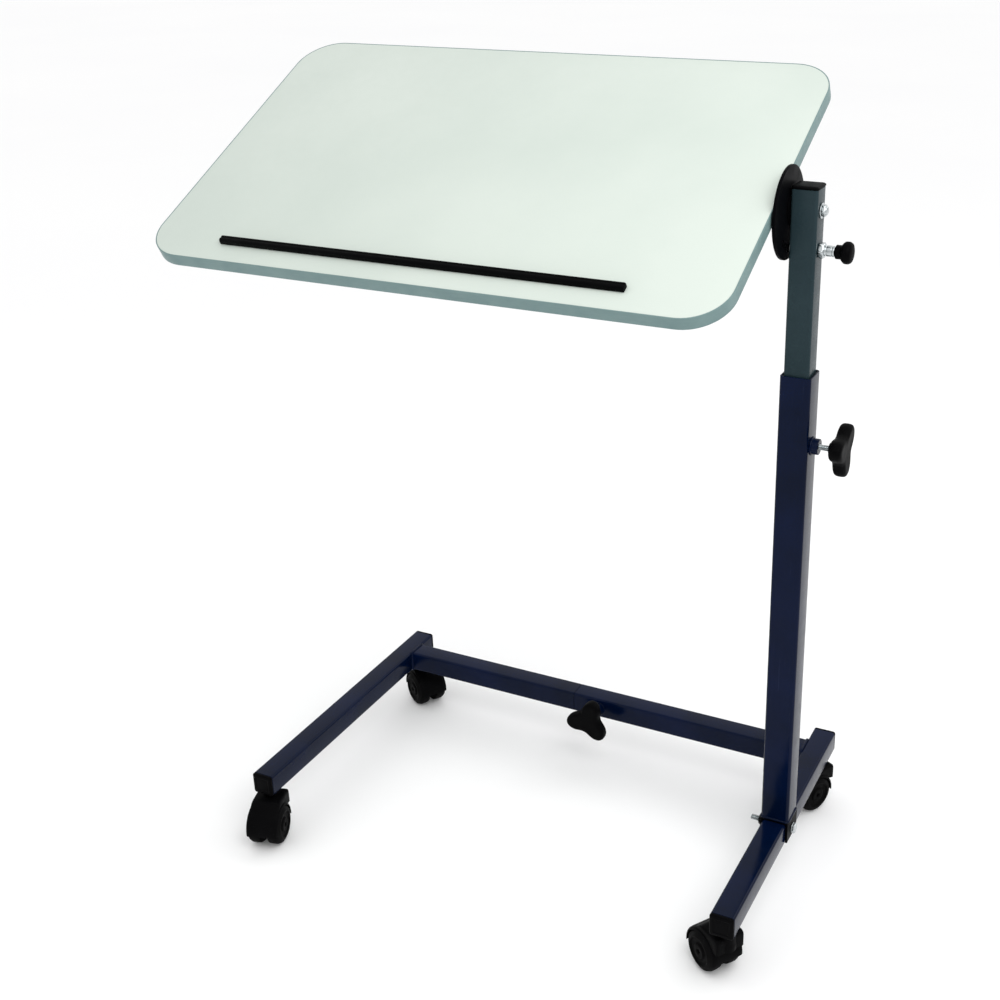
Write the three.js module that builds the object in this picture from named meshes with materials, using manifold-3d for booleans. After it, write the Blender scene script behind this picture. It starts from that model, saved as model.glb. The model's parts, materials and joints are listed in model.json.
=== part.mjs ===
// Overbed table: a cantilevered, tilting tabletop on a telescopic column, over a
// castored base of two feet and a crossbar that widens.
// Millimetres, +Z up, +X to the column's side, -Y to the user's side.

import * as THREE from "three";
import { mergeVertices } from "three/addons/utils/BufferGeometryUtils.js";
import Module from "manifold-3d";

const wasm = await Module();
wasm.setup();

// ---------------------------------------------------------------- dimensions

const GAP = 0.3; // between pieces that touch
const RUNNING = 0.1; // between pieces that slide or turn on each other

const top = { length: 600, depth: 354, thickness: 13, corner: 42, band: 1 };
const ledge = { length: 423, depth: 8, height: 6, fromFront: 26, offset: -4 };
const tilt = { angle: THREE.MathUtils.degToRad(27.5), pivotZ: 730, boardAbove: 13 };
const plate = {
  radius: 42,
  thickness: 3,
  offsetY: -7.5, // of the outline's centre from the pivot
  offsetZ: 1,
  indexRadius: 35.5,
  indexStep: 13.75,
  indexHole: 6.6,
};
const arm = { side: 20, wall: 1.5, length: 400, padLength: 320, padWidth: 60, padStart: 60 };
const screw = { shank: 4.2, head: 9, headHeight: 2.6, bite: 9, spacingX: 280, spacingY: 44 };
const pivot = { bolt: 6, hole: 6.6, nut: 10, nutHeight: 2.8, washer: 14, spacer: 32 };

const outer = { side: 30, wall: 1.5, bottom: 85.1, top: 577.5 };
const inner = { side: 24.4, wall: 1.5, bottom: 212, top: 749.5 };
const bush = { depth: 30, sunk: 1 };
const plunger = {
  z: tilt.pivotZ - plate.indexRadius,
  pin: 6,
  barrel: 10,
  hex: 13,
  reach: 27.5,
  travel: 3.3, // from clear of the plate to flush with its far face
};

const foot = { side: 25, wall: 1.5, bottom: 57, front: -170, rear: 169, cap: 4, plug: 5 };
const bar = { side: 25, wall: 1.5, y: 132.5, seam: -300, spigot: 21.8, spigotReach: 180 };
const span = 544; // between the centre planes of the two feet
const saddle = { thickness: 2.5, depth: 32, drop: 22, plug: 15, bolt: 6, boltEnd: 14 };

const clamp = { boss: 15.4, bossLength: 7.5, screw: 6, hub: 12, hubLength: 5 };
const grip = { radius: 28, waist: 0.55, thickness: 13, lobes: 3 };
const heightClampZ = 507;
const barClampX = -267;

const castor = {
  wheelRadius: 22,
  wheelWidth: 15,
  web: 8,
  trail: 19,
  axle: 4,
  stem: 8,
  collar: 17,
  hoodRadius: 24.6,
  hoodWall: 2.2,
  neck: 20,
  frontY: -158,
  rearY: 153,
};

// ----------------------------------------------------------------- materials

function material(color, roughness, metalness) {
  return new THREE.MeshStandardMaterial({ color, roughness, metalness });
}

const finish = {
  melamine: () => material(0xdfe6e0, 0.45, 0),
  edging: () => material(0x80969a, 0.5, 0),
  navyPaint: () => material(0x141a38, 0.3, 0.4),
  greyPaint: () => material(0x343f45, 0.4, 0.4),
  blackSteel: () => material(0x0b0b0d, 0.5, 0.5),
  blackPlastic: () => material(0x0d0d0f, 0.55, 0),
  chrome: () => material(0xc8ccd0, 0.15, 1),
  tyre: () => material(0x0a0a0b, 0.7, 0),
};

// ------------------------------------------------------------ solid geometry

function toSolid(geometry) {
  const bare = geometry.clone();
  bare.deleteAttribute("normal");
  bare.deleteAttribute("uv");
  const merged = mergeVertices(bare, 1e-3);
  return new wasm.Manifold(
    new wasm.Mesh({
      numProp: 3,
      vertProperties: Float32Array.from(merged.attributes.position.array),
      triVerts: Uint32Array.from(merged.index.array),
    }),
  );
}

function toGeometry(solid) {
  const mesh = solid.getMesh();
  const geometry = new THREE.BufferGeometry();
  geometry.setAttribute("position", new THREE.BufferAttribute(mesh.vertProperties, 3));
  geometry.setIndex(new THREE.BufferAttribute(mesh.triVerts, 1));
  geometry.computeVertexNormals();
  return geometry;
}

function join(first, ...others) {
  const sum = others.reduce((solid, other) => solid.add(toSolid(other)), toSolid(first));
  return toGeometry(sum);
}

function cut(first, ...tools) {
  const rest = tools.reduce((solid, tool) => solid.subtract(toSolid(tool)), toSolid(first));
  return toGeometry(rest);
}

function roundedRectangle(width, height, radius, path = new THREE.Shape()) {
  const x = width / 2 - radius;
  const y = height / 2 - radius;
  const quarter = Math.PI / 2;
  path.moveTo(x, -height / 2);
  path.absarc(x, -y, radius, -quarter, 0, false);
  path.absarc(x, y, radius, 0, quarter, false);
  path.absarc(-x, y, radius, quarter, 2 * quarter, false);
  path.absarc(-x, -y, radius, 2 * quarter, 3 * quarter, false);
  path.closePath();
  return path;
}

// Extrudes a shape along an axis, from one coordinate to the other. Along X the
// shape lies in (-Z, Y), along Y in (X, -Z), along Z in (X, Y).
function extrude(shape, axis, from, to, curveSegments = 2) {
  const options = { depth: to - from, bevelEnabled: false, curveSegments };
  const geometry = new THREE.ExtrudeGeometry(shape, options).translate(0, 0, from);
  return turn(geometry, axis);
}

function turn(geometry, axis) {
  if (axis === "x") return geometry.rotateY(Math.PI / 2);
  if (axis === "y") return geometry.rotateX(-Math.PI / 2);
  return geometry;
}

function rod(diameter, axis, from, to, sides = 20) {
  const geometry = new THREE.CylinderGeometry(diameter / 2, diameter / 2, to - from, sides);
  return turn(geometry.rotateX(Math.PI / 2).translate(0, 0, (from + to) / 2), axis);
}

// Turns a closed profile of [radius, height] points about an axis.
function revolve(profile, axis, sides = 24) {
  const points = profile.map(([radius, height]) => new THREE.Vector2(radius, height));
  return turn(new THREE.LatheGeometry(points, sides).rotateX(Math.PI / 2), axis);
}

function block(x, y, z) {
  const size = [x[1] - x[0], y[1] - y[0], z[1] - z[0]];
  const geometry = new THREE.BoxGeometry(...size);
  return geometry.translate((x[0] + x[1]) / 2, (y[0] + y[1]) / 2, (z[0] + z[1]) / 2);
}

function squareBar(side, radius, axis, from, to) {
  return extrude(roundedRectangle(side, side, radius), axis, from, to);
}

function squareTube(side, wall, axis, from, to) {
  const shape = roundedRectangle(side, side, 2.5);
  const hollow = side - 2 * wall;
  shape.holes.push(roundedRectangle(hollow, hollow, 1, new THREE.Path()));
  return extrude(shape, axis, from, to);
}

function hexagon(acrossFlats, axis, from, to) {
  return rod((acrossFlats * 2) / Math.sqrt(3), axis, from, to, 6);
}

function add(parent, name, geometry, surface, position = [0, 0, 0]) {
  const mesh = new THREE.Mesh(geometry, surface);
  mesh.name = name;
  mesh.position.set(...position);
  parent.add(mesh);
}

// ------------------------------------------------------------------ tabletop

// Built about the pivot axis, with the board level; x = 0 is the column's axis.
const plateFace = -inner.side / 2 - GAP - 1 - GAP; // nearest face of the tilt plate
const armStart = plateFace - plate.thickness - GAP;
const boardEnd = armStart - 0.9;
const boardX = boardEnd - top.length / 2;
const boardTop = tilt.boardAbove + top.thickness;
const padTop = tilt.boardAbove - GAP;
const padBottom = arm.side / 2 - 0.5; // sunk a little into the arm, as its weld is

function screwPlaces() {
  const middle = armStart - arm.padStart - arm.padLength / 2;
  const places = [];
  for (const x of [middle - screw.spacingX / 2, middle + screw.spacingX / 2]) {
    for (const y of [-screw.spacingY / 2, screw.spacingY / 2]) places.push([x, y]);
  }
  return places;
}

function screwHoles(from, to) {
  const diameter = screw.shank + 2 * GAP;
  return screwPlaces().map(([x, y]) => rod(diameter, "z", from, to, 14).translate(x, y, 0));
}

function boardGeometry() {
  const inset = 2 * (top.band + GAP);
  const outline = roundedRectangle(
    top.length - inset,
    top.depth - inset,
    top.corner - inset / 2,
  );
  const sheet = extrude(outline, "z", tilt.boardAbove, boardTop, 6).translate(boardX, 0, 0);
  return cut(sheet, ...screwHoles(tilt.boardAbove - 1, tilt.boardAbove + screw.bite + GAP));
}

function bandGeometry() {
  const outline = roundedRectangle(top.length, top.depth, top.corner);
  const inset = 2 * top.band;
  const hole = roundedRectangle(
    top.length - inset,
    top.depth - inset,
    top.corner - top.band,
    new THREE.Path(),
  );
  outline.holes.push(hole);
  return extrude(outline, "z", tilt.boardAbove, boardTop, 6).translate(boardX, 0, 0);
}

function ledgeGeometry() {
  const bevel = 1.2;
  const outline = roundedRectangle(ledge.length - 2 * bevel, ledge.depth - 2 * bevel, 2.5);
  const strip = new THREE.ExtrudeGeometry(outline, {
    depth: ledge.height - bevel,
    bevelThickness: bevel,
    bevelSize: bevel,
    bevelSegments: 2,
    curveSegments: 2,
  });
  const bottom = boardTop + GAP;
  const y = -top.depth / 2 + ledge.fromFront;
  const x = boardX + ledge.offset;
  strip.translate(x, y, bottom);
  const below = [bottom - 2 * bevel, bottom];
  const across = [y - ledge.depth, y + ledge.depth];
  const along = [x - ledge.length, x + ledge.length];
  return cut(strip, block(along, across, below));
}

function tiltPlateGeometry() {
  const right = plateFace;
  const left = plateFace - plate.thickness;
  const holes = [rod(pivot.hole, "x", left - 1, right + 1)];
  // The hole opposite the plunger at rest is straight down; the others lie to the
  // front and back of it, one step of tilt apart.
  for (let step = -2; step <= 3; step += 1) {
    const angle = THREE.MathUtils.degToRad(step * plate.indexStep) + tilt.angle;
    const hole = rod(plate.indexHole, "x", left - 1, right + 1, 16);
    const y = -plate.indexRadius * Math.sin(angle);
    const z = -plate.indexRadius * Math.cos(angle);
    holes.push(hole.translate(0, y, z));
  }
  const disc = rod(2 * plate.radius, "x", left, right, 56);
  return cut(disc.translate(0, plate.offsetY, plate.offsetZ), ...holes);
}

function armGeometry() {
  const end = armStart - arm.length;
  const tube = squareTube(arm.side, arm.wall, "x", end, armStart);
  const padEnd = armStart - arm.padStart;
  const pad = roundedRectangle(arm.padLength, arm.padWidth, 8);
  const padX = padEnd - arm.padLength / 2;
  const flange = extrude(pad, "z", padBottom, padTop).translate(padX, 0, 0);
  return cut(join(tube, flange), ...screwHoles(arm.side / 2 - 2, padTop + 1));
}

function armScrewGeometry() {
  const shoulder = padBottom - GAP;
  const neck = shoulder - screw.headHeight;
  const tip = tilt.boardAbove + screw.bite;
  const rim = screw.head / 2;
  const profile = [
    [0, neck],
    [rim - 1.2, neck],
    [rim, neck + 1.1],
    [rim, shoulder],
    [screw.shank / 2, shoulder],
    [screw.shank / 2, tip - 1.5],
    [0, tip],
  ];
  return revolve(profile, "z", 14);
}

function buildTabletop() {
  const group = new THREE.Group();
  group.position.z = tilt.pivotZ;
  group.rotation.x = tilt.angle;
  add(group, "tabletop_board", boardGeometry(), finish.melamine());
  add(group, "tabletop_edge_band", bandGeometry(), finish.edging());
  add(group, "book_ledge", ledgeGeometry(), finish.blackPlastic());
  add(group, "tilt_plate", tiltPlateGeometry(), finish.blackSteel());
  add(group, "table_arm", armGeometry(), finish.blackSteel());
  screwPlaces().forEach(([x, y], index) => {
    add(group, `arm_screw_${index + 1}`, armScrewGeometry(), finish.chrome(), [x, y, 0]);
  });
  const insertSide = arm.side - 2 * arm.wall - 2 * GAP;
  const insert = squareBar(insertSide, 1, "x", armStart - 20, armStart);
  const bore = rod(pivot.bolt + 2 * RUNNING, "x", armStart - 21, armStart + 1);
  add(group, "arm_pivot_insert", cut(insert, bore), finish.chrome());
  const end = armStart - arm.length;
  const plugCap = squareBar(arm.side, 2.5, "x", end - GAP - 3, end - GAP);
  const plugBody = squareBar(insertSide, 1, "x", end - 1, end + 12);
  add(group, "arm_end_plug", join(plugCap, plugBody), finish.blackPlastic());
  return group;
}

// -------------------------------------------------------------------- column

function outerColumnGeometry() {
  const tube = squareTube(outer.side, outer.wall, "z", outer.bottom, outer.top);
  const hole = rod(clamp.screw + 2 * GAP, "x", outer.side / 2 - 4, outer.side / 2 + 4);
  return cut(tube, hole.translate(0, 0, heightClampZ));
}

function bushGeometry() {
  const sleeveSide = outer.side - 2 * outer.wall - 2 * GAP;
  const bottom = outer.top - bush.depth;
  const sleeve = squareBar(sleeveSide, 1, "z", bottom, outer.top - bush.sunk);
  const passage = squareBar(inner.side + 2 * RUNNING, 2.5, "z", bottom - 1, outer.top);
  return cut(sleeve, passage);
}

function innerColumnGeometry() {
  const tube = squareTube(inner.side, inner.wall, "z", inner.bottom, inner.top);
  const reach = inner.side;
  const pivotHole = rod(pivot.hole, "x", -reach, reach).translate(0, 0, tilt.pivotZ);
  const pinHole = rod(plunger.pin + 2 * GAP, "x", -reach, reach).translate(0, 0, plunger.z);
  return cut(tube, pivotHole, pinHole);
}

function innerCapGeometry() {
  const bottom = inner.top + GAP;
  const outline = roundedRectangle(inner.side - 1, inner.side - 1, 2.5);
  const lid = new THREE.ExtrudeGeometry(outline, {
    depth: 0.8,
    bevelThickness: 1.1,
    bevelSize: 1,
    bevelSegments: 2,
    curveSegments: 2,
  });
  lid.translate(0, 0, bottom + 1.1);
  const plugSide = inner.side - 2 * inner.wall - 2 * GAP;
  return join(lid, squareBar(plugSide, 1, "z", inner.top - 9, bottom + 1));
}

function innerGuideGeometry() {
  const skirtSide = outer.side - 2 * outer.wall - 2 * RUNNING;
  const plugSide = inner.side - 2 * inner.wall - 2 * GAP;
  const skirt = squareBar(skirtSide, 1.5, "z", inner.bottom - 4, inner.bottom - GAP);
  return join(skirt, squareBar(plugSide, 1, "z", inner.bottom - 1, inner.bottom + 20));
}

function pivotNutGeometry(face) {
  const shoulder = face + pivot.nutHeight;
  const radius = pivot.nut / 2 - 0.6;
  const hex = hexagon(pivot.nut, "x", face, shoulder);
  const dome = [
    [0, face + 1],
    [radius, face + 1],
    [radius, shoulder],
    [radius - 0.5, shoulder + 1],
    [radius - 1.9, shoulder + 1.7],
    [0, shoulder + 2],
  ];
  const bore = rod(pivot.bolt + 2 * GAP, "x", face - 1, shoulder + 2 * GAP);
  return cut(join(hex, revolve(dome, "x", 16)), bore);
}

// The plunger's pin slides along X in its barrel; a collar on the pin takes the spring.
// It is built drawn clear of the tilt plate.
const barrelFace = inner.side / 2 + GAP;
const springRoom = { diameter: 8.4, from: barrelFace + 1, to: plunger.reach - 3 };
const collarStart = springRoom.from + plunger.travel + 0.6;
const collarEnd = collarStart + 1.2;
const pinEnd = plunger.reach + plunger.travel + 8;

function barrelGeometry() {
  const shell = rod(plunger.barrel, "x", barrelFace, plunger.reach, 24);
  const hex = hexagon(plunger.hex, "x", barrelFace, barrelFace + 5);
  const bore = rod(plunger.pin + 2 * RUNNING, "x", barrelFace - 1, plunger.reach + 1);
  const room = rod(springRoom.diameter, "x", springRoom.from, springRoom.to);
  return cut(join(shell, hex), bore, room);
}

function pinGeometry() {
  const radius = plunger.pin / 2;
  const tip = plateFace + GAP;
  const collar = springRoom.diameter / 2 - 0.2;
  const profile = [
    [0, tip],
    [radius - 0.8, tip],
    [radius, tip + 1],
    [radius, collarStart],
    [collar, collarStart],
    [collar, collarEnd],
    [radius, collarEnd],
    [radius, pinEnd],
    [0, pinEnd],
  ];
  return revolve(profile, "x", 20);
}

// The grip's skirt sleeves over the barrel's end as the pin goes in.
function pullGripGeometry() {
  const start = plunger.reach + GAP;
  const pocket = plunger.barrel / 2 + GAP;
  const pocketEnd = start + plunger.travel + GAP;
  const bore = plunger.pin / 2 + GAP;
  const profile = [
    [pocket, start],
    [pocket + 1.1, start],
    [pocket + 1, start + 5],
    [8.6, start + 6.2],
    [10, start + 8],
    [10, start + 12.2],
    [8.8, start + 14.4],
    [6, start + 15.3],
    [0, start + 15.5],
    [0, pinEnd + GAP],
    [bore, pinEnd + GAP],
    [bore, pocketEnd],
    [pocket, pocketEnd],
    [pocket, start],
  ];
  return revolve(profile, "x");
}

class Helix extends THREE.Curve {
  constructor(radius, from, to, turns) {
    super();
    Object.assign(this, { radius, from, to, turns });
  }
  getPoint(t, target = new THREE.Vector3()) {
    const angle = 2 * Math.PI * this.turns * t;
    const x = this.from + (this.to - this.from) * t;
    return target.set(x, this.radius * Math.cos(angle), this.radius * Math.sin(angle));
  }
}

function springGeometry() {
  const wire = 0.8;
  const radius = (springRoom.diameter - wire) / 2 - GAP;
  const start = collarEnd + wire / 2 + GAP;
  const end = springRoom.to - wire / 2 - GAP;
  const section = new THREE.Shape().absarc(0, 0, wire / 2, 0, 2 * Math.PI);
  return new THREE.ExtrudeGeometry(section, {
    extrudePath: new Helix(radius, start, end, 3),
    steps: 42,
    curveSegments: 3,
  });
}

function buildUpright() {
  const group = new THREE.Group();
  add(group, "inner_column", innerColumnGeometry(), finish.greyPaint());
  add(group, "inner_column_cap", innerCapGeometry(), finish.blackPlastic());
  add(group, "inner_column_guide", innerGuideGeometry(), finish.blackPlastic());

  const atPivot = [0, 0, tilt.pivotZ];
  const spacerFace = -inner.side / 2 - GAP;
  const spacer = cut(
    rod(pivot.spacer, "x", spacerFace - 1, spacerFace, 32),
    rod(pivot.hole, "x", spacerFace - 2, spacerFace + 1),
    rod(plunger.pin + 2 * GAP, "x", spacerFace - 2, spacerFace + 1)
      .translate(0, 0, -plate.indexRadius),
  );
  add(group, "pivot_spacer", spacer, finish.blackPlastic(), atPivot);
  const washerFace = inner.side / 2 + GAP;
  const washer = cut(
    rod(pivot.washer, "x", washerFace, washerFace + 1.2),
    rod(pivot.hole, "x", washerFace - 1, washerFace + 2),
  );
  add(group, "pivot_washer", washer, finish.chrome(), atPivot);
  const nutFace = washerFace + 1.2 + GAP;
  add(group, "pivot_nut", pivotNutGeometry(nutFace), finish.chrome(), atPivot);
  const bolt = rod(pivot.bolt, "x", armStart - 18, nutFace + pivot.nutHeight);
  add(group, "pivot_bolt", bolt, finish.chrome(), atPivot);

  const atPlunger = [0, 0, plunger.z];
  add(group, "plunger_barrel", barrelGeometry(), finish.chrome(), atPlunger);
  add(group, "plunger_spring", springGeometry(), finish.chrome(), atPlunger);
  add(group, "plunger_pin", pinGeometry(), finish.chrome(), atPlunger);
  add(group, "plunger_grip", pullGripGeometry(), finish.blackPlastic(), atPlunger);
  return group;
}

// -------------------------------------------------------------- clamp knobs

// A clamp is built along +Z from a tube's face at z = 0 and turned into place.
function bossGeometry() {
  const ring = rod(clamp.boss, "z", GAP, clamp.bossLength, 32);
  return cut(ring, rod(clamp.screw + 2 * GAP, "z", -1, clamp.bossLength + 1));
}

const gripStart = clamp.bossLength + 9.5;

function gripOutline() {
  const lobes = new THREE.Shape();
  const steps = 48;
  for (let index = 0; index < steps; index += 1) {
    const angle = (2 * Math.PI * index) / steps;
    const wave = (1 + Math.cos(grip.lobes * angle)) / 2;
    const radius = grip.radius * (grip.waist + (1 - grip.waist) * wave ** 1.3) - 1.5;
    const point = [radius * Math.cos(angle), radius * Math.sin(angle)];
    if (index === 0) lobes.moveTo(...point);
    else lobes.lineTo(...point);
  }
  lobes.closePath();
  return lobes;
}

function gripGeometry() {
  const bevel = 1.5;
  const head = new THREE.ExtrudeGeometry(gripOutline(), {
    depth: grip.thickness - 2 * bevel,
    bevelThickness: bevel,
    bevelSize: bevel,
    bevelSegments: 1,
  });
  head.translate(0, 0, gripStart + clamp.hubLength + bevel);
  const hub = rod(clamp.hub, "z", gripStart, gripStart + clamp.hubLength + 1);
  const bore = rod(clamp.screw + 2 * GAP, "z", gripStart - 1, gripStart + 11);
  return cut(join(head, hub), bore);
}

function clampScrewGeometry(tip) {
  return rod(clamp.screw, "z", tip, gripStart + 10);
}

// Places the clamp's pieces at a point on a tube's face, with +Z of the clamp along
// the face's outward direction and a lobe turned by spin.
function buildClamp(prefix, place, outward, tip, bossSurface, spin) {
  const group = new THREE.Group();
  group.position.set(...place);
  group.quaternion.setFromUnitVectors(new THREE.Vector3(0, 0, 1), outward);
  add(group, `${prefix}_boss`, bossGeometry(), bossSurface);
  add(group, `${prefix}_screw`, clampScrewGeometry(tip), finish.chrome());
  const head = gripGeometry().rotateZ(spin);
  add(group, `${prefix}_grip`, head, finish.blackPlastic());
  return group;
}

// ---------------------------------------------------------------------- base

const footMiddle = foot.bottom + foot.side / 2;
const footTop = foot.bottom + foot.side;

function footGeometry(drilled) {
  const tube = squareTube(foot.side, foot.wall, "y", foot.front, foot.rear);
  tube.translate(0, 0, footMiddle);
  const tools = [castor.frontY, castor.rearY].map((y) =>
    rod(castor.stem + 2 * GAP, "z", foot.bottom - 2, foot.bottom + 4).translate(0, y, 0),
  );
  if (drilled) {
    const across = rod(saddle.bolt + 2 * GAP, "x", -foot.side, foot.side);
    tools.push(across.translate(0, 0, footMiddle));
  }
  return cut(tube, ...tools);
}

// The cap is built facing +Y, with the tube's end at y = 0.
function footCapGeometry() {
  const side = foot.side;
  const outline = roundedRectangle(side - 2, side - 2, 2.5);
  const face = new THREE.ExtrudeGeometry(outline, {
    depth: foot.cap - GAP - 2,
    bevelThickness: 1,
    bevelSize: 1,
    bevelSegments: 2,
    curveSegments: 2,
  });
  face.translate(0, 0, GAP + 1).rotateX(-Math.PI / 2);
  const plugSide = side - 2 * foot.wall - 2 * GAP;
  return join(face, squareBar(plugSide, 1, "y", -foot.plug, GAP + 1));
}

function buildFoot(side, x) {
  const group = new THREE.Group();
  group.position.x = x;
  add(group, `foot_${side}`, footGeometry(side === "right"), finish.navyPaint());
  const front = footCapGeometry().rotateZ(Math.PI);
  add(group, `foot_cap_${side}_front`, front, finish.blackPlastic(), [0, foot.front, footMiddle]);
  const rear = [0, foot.rear, footMiddle];
  add(group, `foot_cap_${side}_rear`, footCapGeometry(), finish.blackPlastic(), rear);
  return group;
}

function saddleGeometry() {
  const insideHalf = foot.side / 2 + GAP;
  const outsideHalf = insideHalf + saddle.thickness;
  const y = [-saddle.depth / 2, saddle.depth / 2];
  const roof = [footTop + GAP, footTop + GAP + saddle.thickness];
  const drop = [footTop - saddle.drop, roof[1]];
  const plugSide = outer.side - 2 * outer.wall - 2 * GAP;
  const body = join(
    block([-outsideHalf, outsideHalf], y, roof),
    block([-outsideHalf, -insideHalf], y, drop),
    block([insideHalf, outsideHalf], y, drop),
    squareBar(plugSide, 1, "z", roof[1] - 1, roof[1] + saddle.plug),
  );
  const hole = rod(saddle.bolt + 2 * GAP, "x", -outer.side, outer.side);
  return cut(body, hole.translate(0, 0, footMiddle));
}

function saddleBoltGeometry(face) {
  const radius = saddle.bolt / 2;
  const profile = [
    [0, -face - saddle.boltEnd],
    [radius - 0.6, -face - saddle.boltEnd],
    [radius, -face - saddle.boltEnd + 0.6],
    [radius, face],
    [5, face],
    [5, face + 1],
    [4.4, face + 2.4],
    [2.6, face + 3.4],
    [0, face + 3.7],
  ];
  return revolve(profile, "x", 20);
}

function buildSaddle() {
  const group = new THREE.Group();
  add(group, "column_saddle", saddleGeometry(), finish.blackSteel());
  const face = foot.side / 2 + 2 * GAP + saddle.thickness;
  const place = [0, 0, footMiddle];
  add(group, "saddle_bolt", saddleBoltGeometry(face), finish.chrome(), place);
  const nut = cut(
    hexagon(10, "x", -face - 5, -face),
    rod(saddle.bolt + 2 * GAP, "x", -face - 6, -face + 1),
  );
  add(group, "saddle_nut", nut, finish.blackSteel(), place);
  return group;
}

const barEnds = { left: -span + foot.side / 2 + GAP, right: -foot.side / 2 - GAP };
const barHole = bar.spigotReach - 40;

function crossbarRightGeometry() {
  const tube = squareTube(bar.side, bar.wall, "x", bar.seam + GAP / 2, barEnds.right);
  const front = [-bar.side / 2 - 4, -bar.side / 2 + 4];
  const hole = rod(clamp.screw + 2 * GAP, "y", ...front).translate(barClampX, 0, 0);
  return cut(tube, hole);
}

function buildCrossbar() {
  const group = new THREE.Group();
  const place = [0, bar.y, footMiddle];
  add(group, "crossbar_right", crossbarRightGeometry(), finish.navyPaint(), place);
  const left = squareTube(bar.side, bar.wall, "x", barEnds.left, bar.seam - GAP / 2);
  add(group, "crossbar_left", left, finish.navyPaint(), place);
  const reach = bar.seam + bar.spigotReach;
  const spigot = squareTube(bar.spigot, bar.wall, "x", bar.seam - barHole, reach);
  add(group, "crossbar_spigot", spigot, finish.blackSteel(), place);
  return group;
}

// ------------------------------------------------------------------- castors

// A castor is built under its stem at x = y = 0, trailing along +Y, on z = 0.
const wheelStart = castor.web / 2 + 0.5;

function wheelGeometry() {
  const bore = castor.axle / 2 + RUNNING;
  const rim = castor.wheelRadius;
  const outside = wheelStart + castor.wheelWidth;
  const profile = [
    [bore, wheelStart],
    [rim, wheelStart],
    [rim, outside - 5],
    [rim - 1.5, outside - 2],
    [rim - 6, outside],
    [bore, outside],
    [bore, wheelStart],
  ];
  return revolve(profile, "x", 36);
}

function arcBand(inside, outside, start, end) {
  const shape = new THREE.Shape();
  shape.absarc(0, 0, outside, start, end, false);
  shape.absarc(0, 0, inside, end, start, true);
  shape.closePath();
  return shape;
}

function hoodGeometry() {
  const half = wheelStart + castor.wheelWidth - 1;
  const start = THREE.MathUtils.degToRad(-5);
  const end = THREE.MathUtils.degToRad(185);
  const inside = castor.hoodRadius - castor.hoodWall;
  // Shapes here lie in (Y, Z): extruded along Z, then stood up along X.
  const stand = (shape, from, to) =>
    new THREE.ExtrudeGeometry(shape, { depth: to - from, bevelEnabled: false, curveSegments: 9 })
      .translate(0, 0, from)
      .applyMatrix4(new THREE.Matrix4().makeBasis(
        new THREE.Vector3(0, 1, 0),
        new THREE.Vector3(0, 0, 1),
        new THREE.Vector3(1, 0, 0),
      ));
  const shell = stand(arcBand(inside, castor.hoodRadius, start, end), -half, half);
  const web = new THREE.Shape();
  web.absarc(0, 0, castor.hoodRadius - 1, start, end, false);
  web.absarc(0, 0, 12, end, start + 2 * Math.PI, false);
  web.closePath();
  const middle = stand(web, -castor.web / 2, castor.web / 2);
  const axle = rod(castor.axle, "x", -half + 1, half - 1, 16);
  const neckBase = castor.hoodRadius - 12;
  const neckTop = foot.bottom - 3 - castor.wheelRadius;
  const neck = rod(castor.neck, "z", neckBase, neckTop, 24).translate(0, -castor.trail, 0);
  // The shoulder slopes from beside the neck down to the rear of the shell.
  const front = -castor.trail - castor.neck / 2 + 2;
  const shoulder = new THREE.Shape();
  shoulder.moveTo(0, neckBase - 1);
  shoulder.lineTo(castor.hoodRadius * Math.cos(0.6), castor.hoodRadius * Math.sin(0.6));
  shoulder.lineTo(2, neckTop - 2);
  shoulder.lineTo(front, neckTop - 2);
  shoulder.lineTo(front, neckBase);
  shoulder.closePath();
  const cheeks = stand(shoulder, 2 - half, half - 2);
  const wheelRoom = rod(2 * (inside + 0.2), "x", castor.web / 2, half + 1, 36);
  const otherRoom = rod(2 * (inside + 0.2), "x", -half - 1, -castor.web / 2, 36);
  const bore = rod(castor.stem + 2 * RUNNING, "z", neckTop - 12, neckTop + 1);
  bore.translate(0, -castor.trail, 0);
  const cover = cut(join(shell, middle, neck, cheeks), wheelRoom, otherRoom, bore);
  return join(cover, shell, axle);
}

function stemGeometry() {
  const radius = castor.stem / 2;
  const underFoot = foot.bottom - GAP;
  const profile = [
    [0, foot.bottom - 14],
    [radius, foot.bottom - 14],
    [radius, underFoot - 2.4],
    [castor.collar / 2, underFoot - 2.4],
    [castor.collar / 2, underFoot],
    [radius, underFoot],
    [radius, foot.bottom + 18],
    [radius - 1, foot.bottom + 19],
    [0, foot.bottom + 19],
  ];
  return revolve(profile, "z", 20);
}

// swing is the direction in which the castor trails, in degrees from +X.
function buildCastor(label, x, y, swing) {
  const group = new THREE.Group();
  group.position.set(x, y, 0);
  add(group, `castor_stem_${label}`, stemGeometry(), finish.chrome());
  const turning = new THREE.Group();
  turning.rotation.z = THREE.MathUtils.degToRad(swing - 90);
  const atWheel = [0, castor.trail, castor.wheelRadius];
  add(turning, `castor_hood_${label}`, hoodGeometry(), finish.blackPlastic(), atWheel);
  const wheel = wheelGeometry();
  add(turning, `castor_wheel_${label}_a`, wheel, finish.tyre(), atWheel);
  const mirrored = wheel.clone().rotateZ(Math.PI);
  add(turning, `castor_wheel_${label}_b`, mirrored, finish.tyre(), atWheel);
  group.add(turning);
  return group;
}

// ------------------------------------------------------------------ assembly

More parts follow.
